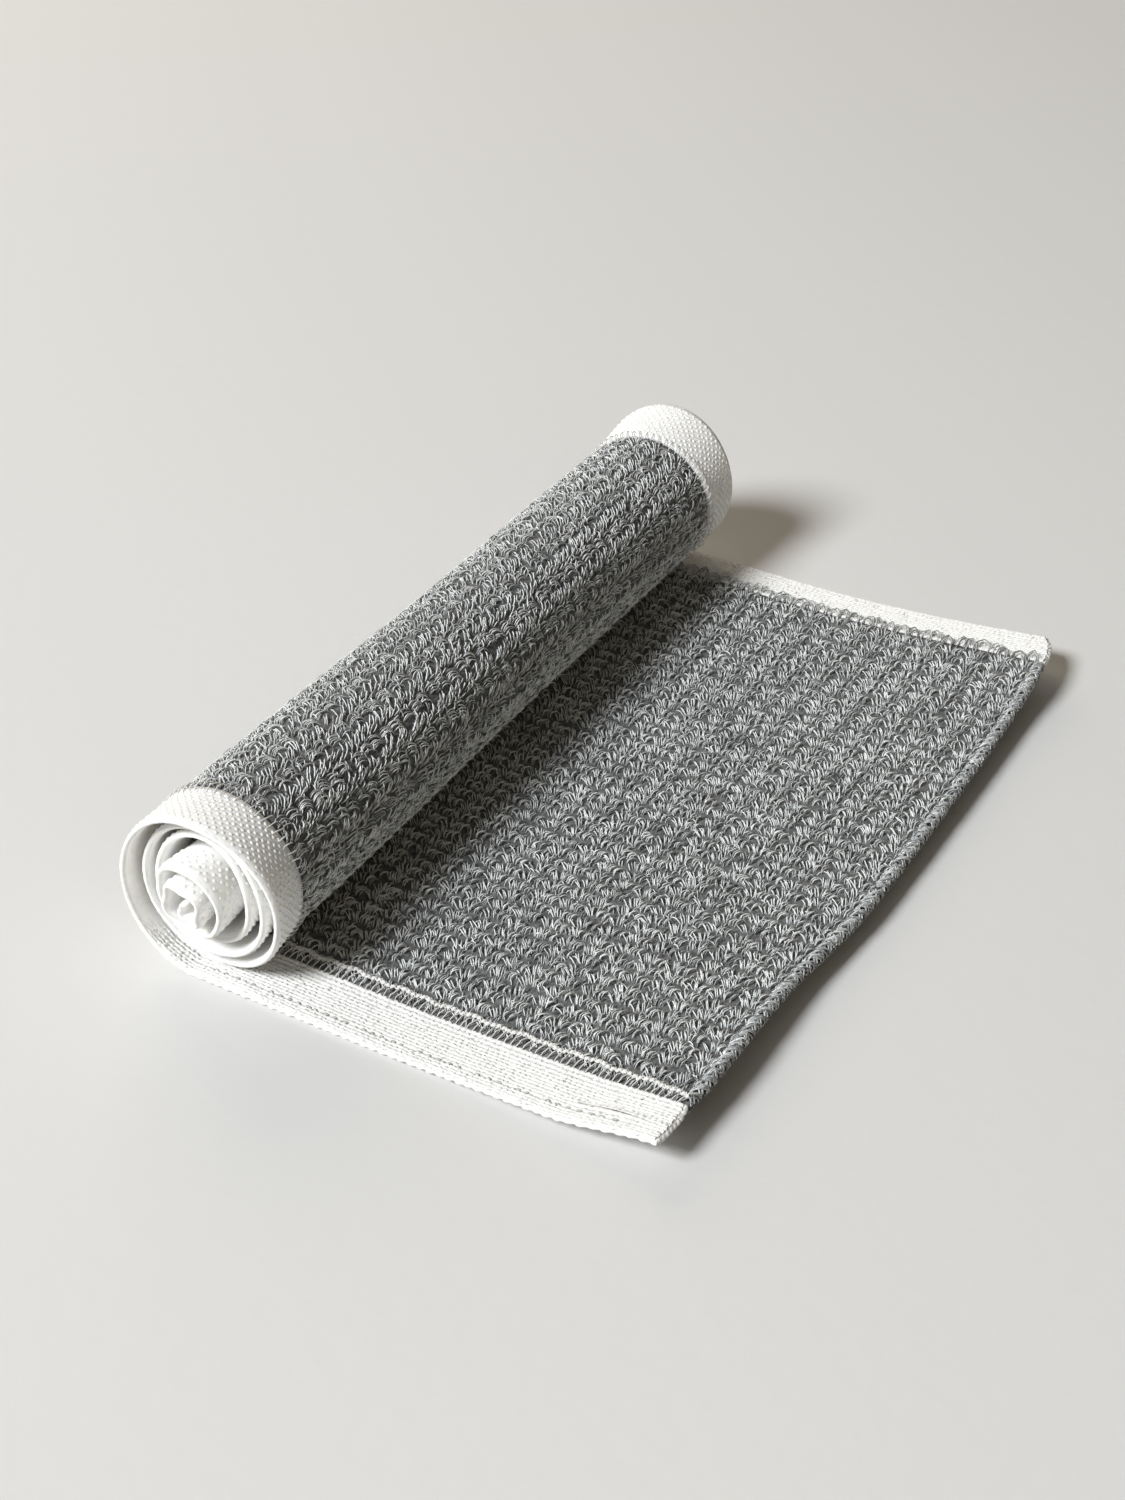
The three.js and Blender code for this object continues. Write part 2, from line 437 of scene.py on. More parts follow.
def cloth_point(u, s, h):
    """Points of the cloth, as an array whose last axis is x, y, z."""
    u, s, h = np.broadcast_arrays(np.asarray(u, float), s, h)
    across = u / HALF_WIDTH
    axis_y = ROLL_SKEW * across
    along = np.clip(-s / FLAP_LENGTH, 0, 1.2)
    flap_y = lerp(axis_y, free_edge_y(across), along)
    flap_z = lift_at(across, along) + h
    angle = angle_at(np.maximum(0, s))
    radius = winding_radius(across, angle) - h
    roll_y = axis_y + radius * np.sin(angle)
    floor = np.where(angle < FULL_TURN / 4, np.maximum(h, 0), 0)
    roll_z = np.maximum(floor, ROLL_HEIGHT - radius * np.cos(angle))
    on_flap = s <= 0
    x = MIDDLE_X + u + lean_at(across, along)
    y = ROLL_Y + np.where(on_flap, flap_y, roll_y)
    z = np.where(on_flap, flap_z, roll_z)
    return np.stack([x, y, z], -1)


def end_depth(table, angle):
    """Depth of a border's edge behind the end of the roll, eased between the table's places."""
    places = np.array(table, float).ravel()
    quarter = np.maximum(0, angle / (FULL_TURN / 4) - 1)
    before = np.minimum(len(places) - 1, np.floor(quarter).astype(int))
    after = np.minimum(len(places) - 1, before + 1)
    return lerp(places[before], places[after], smooth(quarter - before, 0, 1))


def border_point(side, outwards, s, h):
    """Points of a white border. outwards is 0 where it meets the grey and 1 at its outer edge."""
    outwards, s, h = np.broadcast_arrays(np.asarray(outwards, float), s, h)
    if side < 0:
        table, spread, flare = NEAR_END, NEAR_SPREAD, NEAR_FLARE
        by_end = smooth(-s, FLAP_LENGTH - NEAR_CORNER_REACH, FLAP_LENGTH)
        pull = NEAR_CORNER[1] * outwards**1.5 * by_end
    else:
        by_end = 0 * s
        table, spread, flare = FAR_END, FAR_SPREAD, FAR_FLARE
        pull = FAR_CORNER * outwards**6 * smooth(-s, FLAP_LENGTH - FAR_CORNER_REACH, FLAP_LENGTH)
    u = side * lerp(JUNCTION, HALF_WIDTH, outwards)
    angle = angle_at(np.maximum(0, s))
    turns = angle / FULL_TURN
    out = end_depth(spread, angle) * smooth(angle, *SPREAD_START)
    crumpled = np.sin(CRUMPLE_WAVES * angle + CRUMPLE_SLANT * outwards)
    out = out + CRUMPLE * smooth(turns, *CRUMPLE_TURNS) * crumpled
    by_junction = 1 - smooth(outwards, 0, JUNCTION_RISE_WIDTH)
    raised = JUNCTION_RISE * by_junction * smooth(-s, 0, JUNCTION_RISE_START)
    place = cloth_point(u, s + pull, h + raised - out * outwards * (s > 0))
    place[..., 0] += NEAR_CORNER[0] * by_end * outwards
    place[..., 2] += by_end * (NEAR_CORNER[2] * outwards**2 + NEAR_JUNCTION_LIFT * (1 - outwards))
    off_crease = (outwards - CREASE_PLACE) / CREASE_WIDTH
    along_crease = (s + FLAP_LENGTH - CREASE_FROM_EDGE) / CREASE_LENGTH
    crease = np.exp(-(off_crease**2)) * np.exp(-(along_crease**2))
    place[..., 2] += CREASE_HEIGHT * crease * (side < 0)
    rolled = s > 0
    place[..., 0] -= np.where(rolled, side * end_depth(table, angle) * outwards, 0)
    place[..., 2] += np.where(rolled, flare * outwards * (1 - np.cos(angle)) / 2, 0)
    return place


def border_top(s):
    """Height of a border's upper face, which is the inner one in the roll."""
    return BORDER_THICK + ROLLED_EXTRA * smooth(s, *THICKER_FROM)


# Length of cloth from the floor to its inner end, and to the end of the turn that shows outside.
CLOTH_END = float(length_at(ROLL_ANGLE))
OUTER_TURN = float(length_at(1.02 * FULL_TURN))


# Meshes.

def make_object(name, points, faces, material, tones=None):
    """A mesh of points in millimetres. faces is an array of quads, or a list of faces of any size."""
    if not isinstance(faces, list):
        faces = faces.tolist()
    mesh = bpy.data.meshes.new(name)
    mesh.from_pydata((points.reshape(-1, 3) * MM).tolist(), [], faces)
    mesh.polygons.foreach_set("use_smooth", [True] * len(mesh.polygons))
    if tones is not None:
        layer = mesh.attributes.new("tone", "FLOAT", "POINT")
        layer.data.foreach_set("value", tones.astype(np.float32).ravel())
    mesh.materials.append(material)
    mesh.update()
    made = bpy.data.objects.new(name, mesh)
    bpy.context.scene.collection.objects.link(made)
    return made


def grid_faces(rows, columns):
    """Quads of a grid whose points run row by row."""
    corner = (np.arange(rows - 1)[:, None] * columns + np.arange(columns - 1)[None, :]).ravel()
    return np.stack([corner, corner + 1, corner + columns + 1, corner + columns], -1)


def repeated_faces(shape, corners, times, turned):
    """The faces of a small shape of so many corners, for each of its copies, turned over if asked."""
    way = -1 if turned else 1
    return [
        [corners * copy + corner for corner in face[::way]]
        for copy in range(times)
        for face in shape
    ]


def out_of_cloth(u, s, h, way):
    """Places on the cloth, and the directions out of the face that way points to."""
    here = cloth_point(u, s, h)
    up = cloth_point(u, s, h + 0.5 * way) - here
    up /= np.linalg.norm(up, axis=-1, keepdims=True) + TINY
    return here, up


def slab(name, lower, upper, material):
    """A closed thin cloth between two grids of points, (rows, columns, 3) each."""
    rows, columns = lower.shape[:2]
    count = rows * columns
    under = grid_faces(rows, columns)
    over = under[:, ::-1] + count
    index = np.arange(count).reshape(rows, columns)
    rim = np.concatenate([index[0, :], index[1:, -1], index[-1, -2::-1], index[-2:0:-1, 0]])
    after = np.roll(rim, -1)
    side = np.stack([rim, rim + count, after + count, after], -1)
    faces = np.concatenate([under, over, side])
    points = np.concatenate([lower.reshape(-1, 3), upper.reshape(-1, 3)])
    return make_object(name, points, faces, material)


def tubes(name, paths, up, radius, material, tones, sides=3):
    """One mesh of many strands along paths, (strands, steps, 3).

    up is the way out of the cloth at each point. tones has one value a strand, or one a step.
    """
    strands, steps = paths.shape[:2]
    along = np.gradient(paths, axis=1)
    along /= np.linalg.norm(along, axis=-1, keepdims=True) + TINY
    beside = np.cross(along, up)
    beside /= np.linalg.norm(beside, axis=-1, keepdims=True) + TINY
    out = np.cross(beside, along)
    turn = FULL_TURN * np.arange(sides) / sides + FULL_TURN / 4
    wide = np.broadcast_to(radius, (strands, steps))[..., None, None]
    ring = (
        paths[:, :, None, :]
        + wide * np.cos(turn)[None, None, :, None] * beside[:, :, None, :]
        + wide * np.sin(turn)[None, None, :, None] * out[:, :, None, :]
    )
    step = np.arange(steps - 1)[:, None] * sides
    here = np.arange(sides)[None, :]
    after = (here + 1) % sides
    quad = np.stack([step + here, step + after, step + sides + after, step + sides + here], -1)
    quad = quad.reshape(-1, 4)
    faces = (np.arange(strands)[:, None, None] * steps * sides + quad[None]).reshape(-1, 4)
    if tones.ndim == 1:
        tones = tones[:, None]
    shade = np.broadcast_to(tones[:, :, None], (strands, steps, sides))
    return make_object(name, ring, faces, material, shade)


# Materials.

def new_material(name, roughness, sheen):
    """A cloth-like material, with its nodes, its links and its shader."""
    material = bpy.data.materials.new(name)
    material.use_nodes = True
    shader = material.node_tree.nodes["Principled BSDF"]
    shader.inputs["Roughness"].default_value = roughness
    shader.inputs["Sheen Weight"].default_value = sheen
    shader.inputs["Specular IOR Level"].default_value = 0.25
    return material, material.node_tree.nodes, material.node_tree.links, shader


def noise_node(nodes, links, scale, detail):
    """Noise fixed to the object, with scale in waves a metre."""
    place = nodes.new("ShaderNodeTexCoord")
    noise = nodes.new("ShaderNodeTexNoise")
    noise.inputs["Scale"].default_value = scale
    noise.inputs["Detail"].default_value = detail
    links.new(place.outputs["Object"], noise.inputs["Vector"])
    return noise


def add_bump(nodes, links, shader, height, strength, distance):
    """Fine relief on the shader, from a height. distance is in metres."""
    bump = nodes.new("ShaderNodeBump")
    bump.inputs["Strength"].default_value = strength
    bump.inputs["Distance"].default_value = distance
    links.new(height, bump.inputs["Height"])
    links.new(bump.outputs["Normal"], shader.inputs["Normal"])


def ramp_node(nodes, links, source, stops):
    """Colours between places on a scale of 0 to 1."""
    ramp = nodes.new("ShaderNodeValToRGB")
    ramp.color_ramp.elements[0].position = stops[0][0]
    ramp.color_ramp.elements[0].color = (*stops[0][1], 1)
    ramp.color_ramp.elements[1].position = stops[-1][0]
    ramp.color_ramp.elements[1].color = (*stops[-1][1], 1)
    for position, colour in stops[1:-1]:
        ramp.color_ramp.elements.new(position).color = (*colour, 1)
    links.new(source, ramp.inputs["Fac"])
    return ramp


def yarn_material():
    """Grey melange yarn: each strand has its own tone, with light and dark fibres along it."""
    material, nodes, links, shader = new_material("grey_yarn", roughness=0.5, sheen=0.1)
    tone = nodes.new("ShaderNodeAttribute")
    tone.attribute_name = "tone"
    fibres = noise_node(nodes, links, scale=FIBRE_SCALE, detail=1.0)
    mixed = nodes.new("ShaderNodeMath")
    mixed.operation = "MULTIPLY_ADD"
    mixed.inputs[1].default_value = FIBRE_CONTRAST
    links.new(fibres.outputs["Fac"], mixed.inputs[0])
    shifted = nodes.new("ShaderNodeMath")
    shifted.operation = "SUBTRACT"
    shifted.inputs[1].default_value = FIBRE_CONTRAST / 2
    links.new(tone.outputs["Fac"], shifted.inputs[0])
    links.new(shifted.outputs[0], mixed.inputs[2])
    ramp = ramp_node(nodes, links, mixed.outputs[0], YARN_COLOURS)
    links.new(ramp.outputs["Color"], shader.inputs["Base Color"])
    return material


def ground_material():
    """The dense grey ground that shows between the strands, and on the hidden face, darkened as painted
    shade for the hollows between the strands.
    """
    material, nodes, links, shader = new_material("grey_ground_shade", roughness=0.95, sheen=0.1)
    mottle = noise_node(nodes, links, scale=900, detail=3.0)
    ramp = ramp_node(nodes, links, mottle.outputs["Fac"], GROUND_SHADE_COLOURS)
    links.new(ramp.outputs["Color"], shader.inputs["Base Color"])
    add_bump(nodes, links, shader, mottle.outputs["Fac"], strength=0.8, distance=0.0006)
    return material


def white_material(name, colour_low, colour_high, depth):
    """White mesh yarn. depth is how far light goes into it, in metres, and 0 keeps light out."""
    material, nodes, links, shader = new_material(name, roughness=0.7, sheen=0.2)
    shader.inputs["Subsurface Weight"].default_value = 0.9 if depth else 0.0
    shader.inputs["Subsurface Radius"].default_value = (1.0, 0.94, 0.82)
    shader.inputs["Subsurface Scale"].default_value = depth
    weave = noise_node(nodes, links, scale=700, detail=2.0)
    ramp = ramp_node(nodes, links, weave.outputs["Fac"], [(0.3, colour_low), (0.7, colour_high)])
    links.new(ramp.outputs["Color"], shader.inputs["Base Color"])
    add_bump(nodes, links, shader, weave.outputs["Fac"], strength=0.25, distance=0.0004)
    return material


def floor_material():
    """Pale floor with a fine grain, a little lighter behind the towel as painted light."""
    material, nodes, links, shader = new_material("pale_floor", roughness=0.9, sheen=0.0)
    place = nodes.new("ShaderNodeTexCoord")
    slope = nodes.new("ShaderNodeVectorMath")
    slope.operation = "DOT_PRODUCT"
    slope.inputs[1].default_value = FLOOR_LIGHT_SLOPE
    links.new(place.outputs["Object"], slope.inputs[0])
    shifted = nodes.new("ShaderNodeMath")
    shifted.operation = "ADD"
    shifted.inputs[1].default_value = 0.5
    links.new(slope.outputs["Value"], shifted.inputs[0])
    ramp = ramp_node(nodes, links, shifted.outputs[0], [(0.0, FLOOR_FRONT), (1.0, FLOOR_BACK)])
    links.new(ramp.outputs["Color"], shader.inputs["Base Color"])
    grain = noise_node(nodes, links, scale=160, detail=6.0)
    add_bump(nodes, links, shader, grain.outputs["Fac"], strength=0.12, distance=0.0008)
    return material


def hole_material():
    """Shade down in the hollows of the white mesh."""
    material, nodes, links, shader = new_material("hole_shade", roughness=0.9, sheen=0.0)
    shader.inputs["Base Color"].default_value = HOLE_SHADE_COLOUR
    return material


GREY_YARN = yarn_material()
# The ground's grey is darkened as painted shade for the hollows between the strands.
GREY_GROUND_SHADE = ground_material()
WHITE_MESH = white_material("white_mesh", (0.90, 0.895, 0.875), (0.96, 0.955, 0.94), 0.002)
# One white yarn is given two tones. The lighter one, on the dots and the beaded edge, is partly painted
# light that lifts the roll's shaded band; the darker one is on the lines, rungs, stitches and ends.
WHITE_YARN = white_material("white_yarn", (0.70, 0.70, 0.695), (0.77, 0.77, 0.768), 0.0)
ROLL_YARN_PAINTED_LIGHT = white_material("white_yarn_roll_painted_light", (0.88, 0.876, 0.852), (0.94, 0.937, 0.92), 0.0)
HOLE_SHADE = hole_material()


def own(piece, slot, *nodes):
    """Every piece rides with the towel, and hides the model's parts that it stands for. slot is not
    used.
    """
    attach(piece, "root")
    if nodes:
        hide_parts(*nodes)
    return piece


# The grey field.

def cloth_stations():
    """Places along the cloth, from its free edge to its inner end."""
    flap = np.linspace(-FLAP_LENGTH, 0, 65)
    rolled = length_at(np.linspace(0, ROLL_ANGLE, 336))[1:]
    return np.concatenate([flap, rolled])


def make_field():
    """The ground of the grey cloth: a closed sheet with a rounded free edge."""
    s = cloth_stations()[None, :]
    u = np.linspace(-JUNCTION, JUNCTION, 41)[:, None]
    rim = np.sqrt(np.clip((s + FLAP_LENGTH) / GROUND_RIM_LENGTH, 0, 1))
    into_roll = smooth(s, *GROUND_INTO_ROLL)
    bottom = lerp(lerp(GROUND_RIM[0], GROUND_FLOOR, rim), ROLL_BASE, into_roll)
    top = lerp(lerp(GROUND_RIM[1], FLAP_BASE, rim), GROUND_INNER, into_roll)
    field = slab("field_ground", cloth_point(u, s, bottom), cloth_point(u, s, top), GREY_GROUND_SHADE)
    return own(field, "grey_knit", "field")


def knit_cells(first, last, seed):
    """Middles of the knit's cells, as (u, s), each a little off its place."""
    random = np.random.default_rng(seed)
    columns = int(2 * JUNCTION / CELL_WIDTH)
    rows = int((last - first) / CELL_LENGTH)
    u = (np.arange(columns) + 0.5 - columns / 2) * (2 * (JUNCTION - 1.0) / columns)
    s = first + (np.arange(rows) + 0.5) * (last - first) / rows
    u, s = (grid.ravel() for grid in np.meshgrid(u, s))
    wobble = random.normal(0, CELL_WOBBLE, (2, len(u)))
    return u + wobble[0], s + wobble[1], random


def through(points):
    """Paths of cells through a list of places, each an array (cells, 3)."""
    return np.stack(points, axis=1)


def fan_paths(random, cells, look):
    """Strands that climb from one foot and spread, in each cell's own (p, q, g)."""
    paths = []
    for k in range(look["fan_strands"]):
        f = k / (look["fan_strands"] - 1)
        foot = np.array([lerp(*look["feet_p"], f), lerp(*look["feet_q"], f)])
        foot = foot + random.normal(0, FAN_FOOT, (cells, 2))
        angle = np.radians(lerp(*look["fan_angles"], f) + random.normal(0, FAN_ANGLE, cells))
        length = look["fan_length"] + random.normal(0, FAN_LENGTH, cells)
        bow = random.normal(*FAN_BOW, cells)
        points = []
        for t, g in zip(np.linspace(0, 1, len(look["climb"])), look["climb"]):
            side = bow * 4 * t * (1 - t)
            p = foot[:, 0] + t * length * np.cos(angle) - side * np.sin(angle)
            q = foot[:, 1] + t * length * np.sin(angle) + side * np.cos(angle)
            points.append(np.stack([p, q, g + random.normal(0, FAN_HEIGHT, cells)], -1))
        paths.append(through(points))
    return np.concatenate(paths)


def arc_paths(random, cells, look):
    """Two rows of arcs, each of a few strands side by side over a hollow."""
    paths = []
    for row_foot, strands in look["arc_rows"]:
        for k in range(strands):
            foot = row_foot + look["arc_step"] * k + random.normal(0, ARC_FOOT, cells)
            bulge = look["bulge"][0] + look["bulge"][1] * k + random.normal(0, ARC_BULGE, cells)
            rise = look["arc_rise"] - ARC_SINK * k + random.normal(0, ARC_RISE, cells)
            slide = random.normal(0, ARC_SLIDE, cells)
            slope = look["arc_slope"] + random.normal(0, ARC_SLOPE, cells)
            points = []
            for t in np.linspace(-1, 1, 5):
                p = look["arc_half"] * t + slide
                q = foot + bulge * (1 - t * t) + slope * p
                g = look["arc_dip"] + (rise - look["arc_dip"]) * (1 - t**4)
                points.append(np.stack([p, q, g], -1))
            paths.append(through(points))
    return np.concatenate(paths)


def loose_paths(random, cells, look):
    """Loose strands low in the cloth, which close the ground between the others."""
    paths = []
    for k in range(look["loose_strands"]):
        middle = np.stack([random.uniform(*LOOSE_P, cells), random.uniform(*LOOSE_Q, cells)], -1)
        angle = np.radians(random.uniform(*look["loose_angles"], cells))
        length = random.uniform(*LOOSE_LENGTH, cells)
        points = []
        for t in np.linspace(-0.5, 0.5, 4):
            p = middle[:, 0] + t * length * np.cos(angle)
            q = middle[:, 1] + t * length * np.sin(angle)
            g = np.full(cells, look["loose_height"] - LOOSE_DEPTH * t * t)
            points.append(np.stack([p, q, g], -1))
        paths.append(through(points))
    return np.concatenate(paths)


def lay_strands(paths, u, s, turn, base, way):
    """Places strands of cells on the cloth.

    way is 1 on the flap, whose top shows and where q runs towards the roll. It is -1 on the roll,
    whose outer face is the cloth's underside and where q runs back.
    """
    repeats = len(paths) // len(u)
    cosine, sine = (np.tile(part, repeats)[:, None] for part in (np.cos(turn), np.sin(turn)))
    p = cosine * paths[..., 0] - sine * paths[..., 1]
    q = sine * paths[..., 0] + cosine * paths[..., 1]
    u = np.tile(u, repeats)[:, None] + p
    s = np.tile(s, repeats)[:, None] + way * q
    h = base + way * paths[..., 2]
    return out_of_cloth(u, s, h, way)


def strand_radius(steps):
    """Strands are thinnest where they go into the cloth."""
    t = np.linspace(-1, 1, steps)
    return STRAND_RADIUS * (1 - STRAND_THINNING * t**4)


def strand_tones(random, strands, steps, light, spread):
    """A tone for each strand, with painted light on its raised middle and painted shade at its ends."""
    t = np.linspace(-1, 1, steps)[None, :]
    tones = random.normal(light, spread, strands)[:, None] + PAINTED_LIGHT_MIDDLE - PAINTED_SHADE_ENDS * t**2
    return np.clip(tones, 0.02, 1.0)


def make_knit():
    """The two faces that show: the top of the flap, and the outer turn of the roll."""
    made = []
    last_knit = float(length_at(LAST_KNIT_TURN * FULL_TURN))
    faces = [
        ("flap", -FLAP_LENGTH + KNIT_FROM_EDGE, -KNIT_BEFORE_ROLL, FLAP_BASE, 1, 11, FLAP_LOOK),
        ("roll", KNIT_INTO_ROLL, last_knit, ROLL_BASE, -1, 12, ROLL_LOOK),
    ]
    kinds = [
        ("fans", fan_paths, *FAN_TONE),
        ("arcs", arc_paths, *ARC_TONE),
        ("loose", loose_paths, *LOOSE_TONE),
    ]
    for name, first, last, base, way, seed, look in faces:
        u, s, random = knit_cells(first, last, seed)
        turn = random.normal(0, CELL_TURN, len(u))
        shade = random.normal(0, CELL_SHADE, len(u))
        for kind, build, light, spread in kinds:
            paths = build(random, len(u), look)
            here, up = lay_strands(paths, u, s, turn, base, way)
            steps = paths.shape[1]
            # The look's lift is the yarn's tone, and on the roll it is partly painted light.
            lights = light + look["lighter"] + np.tile(shade, len(paths) // len(u))
            tones = strand_tones(random, len(paths), steps, lights, spread)
            piece = tubes(f"knit_{name}_{kind}", here, up, strand_radius(steps), GREY_YARN, tones)
            made.append(own(piece, "grey_knit"))
    return made


def place_strands(name, points, way, radius, material, slot, seed, light=0.6):
    """Strands given by their places (u, s, h) on the cloth, each row a list of steps."""
    random = np.random.default_rng(seed)
    points = points + random.normal(0, STRAND_STRAY, points.shape)
    here, up = out_of_cloth(points[..., 0], points[..., 1], points[..., 2], way)
    tones = np.clip(random.normal(light, STRAND_TONE_SPREAD, len(points)), 0.05, 1.0)
    return own(tubes(name, here, up, radius, material, tones), slot)


def repeated(shape, middles, spreads):
    """One strand's steps (u, s, h), set at each middle and moved by each spread."""
    shape = np.array(shape, float)
    made = []
    for spread in spreads:
        for middle in middles:
            made.append(shape + np.asarray(middle) + np.asarray(spread))
    return np.array(made)


def make_free_edge():
    """The looped edge: strands that cross over the rim of the cloth, both ways."""
    random = np.random.default_rng(20)
    over = [
        (-1.7, 3.2, 2.0), (-0.6, 1.8, 3.1), (0.5, 0.7, 3.1),
        (1.3, -0.1, 2.2), (1.6, 0.0, 1.0), (1.3, 0.6, 0.3),
    ]
    under = [
        (1.7, 3.0, 1.9), (0.7, 1.8, 2.9), (-0.4, 0.7, 2.9),
        (-1.3, 0.0, 2.0), (-1.7, 0.1, 0.9), (-1.3, 0.6, 0.2),
    ]
    across = np.arange(-JUNCTION + 3.2, JUNCTION - 1.5, PLAIT_PITCH)
    across = across + random.normal(0, 0.25, len(across))
    places = [(u, -FLAP_LENGTH, 0) for u in across]
    spreads = [(-0.75, 0, 0.05), (-0.25, 0.1, 0), (0.3, 0, 0.12), (0.8, 0.1, 0)]
    paths = np.concatenate([repeated(over, places, spreads), repeated(under, places, spreads)])
    return place_strands("free_edge_plait", paths, 1, PLAIT_RADIUS, GREY_YARN, "grey_knit", 21)


def make_near_junction():
    """White rungs over a dark gap, and the looped line that they hang from."""
    rung = [
        (-102.8, -0.6, 3.3), (-103.5, -0.35, 3.5), (-104.2, 0.0, 3.3),
        (-104.9, 0.3, 2.9), (-105.6, 0.6, 2.2),
    ]
    stitch = [
        (-103.2, 0.5, 0.3), (-104.2, 0.3, -0.6), (-105.6, 0, -0.75),
        (-106.8, -0.2, -0.3), (-107.6, -0.3, 0.3),
    ]
    places = [(0, s, 0) for s in np.arange(-FLAP_LENGTH + 2.5, -1, RUNG_PITCH)]
    rolled = [(0, s, 0) for s in np.arange(6, OUTER_TURN - 6, NEAR_STITCH_PITCH)]
    rungs = repeated(rung, places, ONCE)
    stitches = repeated(stitch, rolled, ONCE)
    made = [
        place_strands("near_rungs_flap", rungs, 1, RUNG_RADIUS, WHITE_YARN, "white_mesh", 22),
        place_strands("near_stitches_roll", stitches, -1, STITCH_RADIUS, WHITE_YARN, "white_mesh", 23),
    ]
    for k, (reach, pitch, radius) in enumerate(LOOPED_LINES):
        def looped(s, k=k, reach=reach, pitch=pitch):
            wander = 0.3 * np.sin(s * 0.9) + 0.2 * np.sin(s * 0.37 + 1)
            zigzag = reach * np.sin(FULL_TURN * s / pitch + 2.1 * k)
            height = 3.3 + 0.2 * np.sin(FULL_TURN * s / KNOT_PITCH + k)
            return cloth_point(-BEADED_LINE + wander + zigzag, s, height)

        made.append(line_along(
            f"near_loops_{k}", looped, -FLAP_LENGTH + 1.5, -1, 0.24, radius, KNOT_PITCH, WHITE_YARN,
            24 + 10 * k, sides=4,
        ))
    return made


def make_far_junction():
    """Grey loops that lap over the white, and white stitches on the roll."""
    loop = [
        (104.6, -1.9, 2.6), (107.2, -1.5, 3.3), (108.6, 0, 3.3),
        (107.3, 1.4, 3.2), (104.6, 1.8, 2.6),
    ]
    stitch = [
        (103.6, 0.5, 0.3), (104.6, 0.3, -0.6), (105.9, 0, -0.75),
        (107.0, -0.2, -0.3), (107.6, -0.3, 0.3),
    ]
    places = [(0, s, 0) for s in np.arange(-FLAP_LENGTH + 4, -2, CELL_LENGTH / 2)]
    random = np.random.default_rng(29)
    loops = []
    for place in places:
        middle = np.array(place) + random.normal(0, (0.5, 0.6, 0.1))
        size = random.uniform(0.8, 1.35)
        for k in range(3):
            shape = np.array(loop) * (1, size - 0.16 * k, 1)
            shift = random.normal(0, (0.25, 0.25, 0.1)) - (0.55 * k, 0, 0.1 * k)
            loops.append(shape + middle + shift)
    loops = np.array(loops)
    rolled = [(0, s, 0) for s in np.arange(6, OUTER_TURN - 6, FAR_STITCH_PITCH)]
    stitches = repeated(stitch, rolled, ONCE)
    return [
        place_strands("far_loops_flap", loops, 1, LOOP_RADIUS, GREY_YARN, "grey_knit", 25, 0.62),
        place_strands("far_stitches_roll", stitches, -1, STITCH_RADIUS, WHITE_YARN, "white_mesh", 26),
    ]


def make_border_edge(side, name, seed):
    """The beaded outer edge of a border, all along its length."""
    def edge(s):
        wave = sum(height * np.sin(FULL_TURN * s / pitch) for height, pitch in EDGE_WAVES) * (s < 0)
        return border_point(side, EDGE_PLACE + wave, s, border_top(s) / 2)

    return line_along(
        name, edge, -FLAP_LENGTH, CLOTH_END, EDGE_STEP, EDGE_RADIUS, EDGE_BEADS, ROLL_YARN_PAINTED_LIGHT, seed,
        swell=EDGE_SWELL,
    )


def make_border_end(side, name, seed):
    """The knotted end of a border at the cloth's free edge."""
    def edge(outwards):
        wave = END_WAVE * np.sin(FULL_TURN * outwards * ROWS_WIDTH / END_WAVE_PITCH)
        return border_point(side, outwards, -FLAP_LENGTH + 0.2 + wave, BORDER_THICK / 2 + 0.1)

    return line_along(
        name, edge, 0.0, 1.0, END_STEP, EDGE_RADIUS, END_BEADS, WHITE_YARN, seed, swell=END_SWELL,
    )


def make_border_lines(side, name):
    """Rows of small knots along a border's open face. Inside the roll they sink into the cloth."""
    random = np.random.default_rng(40 + side)
    s = np.arange(-FLAP_LENGTH + 0.6, LINES_LAST if side < 0 else -0.5, LINE_STEP)
    face = border_top(s) - LINES_SINK * smooth(s, LINES_SINK_START, LINES_LAST)
    paths = []
    for k, place in enumerate(LINE_PLACES):
        outwards = place / ROWS_WIDTH
        wobble = LINE_WOBBLE * np.sin(FULL_TURN * s / LINE_WOBBLE_PITCH + 2.3 * k)
        wobble = wobble + random.normal(0, LINE_STRAY, len(s))
        height = face + LINE_RELIEF * np.sin(FULL_TURN * s / KNOT_PITCH + 1.7 * k)
        height = height + random.normal(0, LINE_RELIEF, len(s))
        paths.append(border_point(side, outwards + wobble / ROWS_WIDTH, s, height))
    paths = np.array(paths)
    up = np.zeros_like(paths)
    up[..., 1] = -np.sin(angle_at(np.maximum(0, s)))
    up[..., 2] = np.cos(angle_at(np.maximum(0, s)))
    swell = LINE_SWELL * np.sin(FULL_TURN * s / KNOT_PITCH)[None, :]
    wide = LINE_RADIUS * (1 + swell + random.normal(0, LINE_UNEVEN, paths.shape[:2]))
    piece = tubes(name, paths, up, wide, WHITE_YARN, np.full(len(paths), WHITE_TONE), 4)
    return own(piece, "white_mesh")


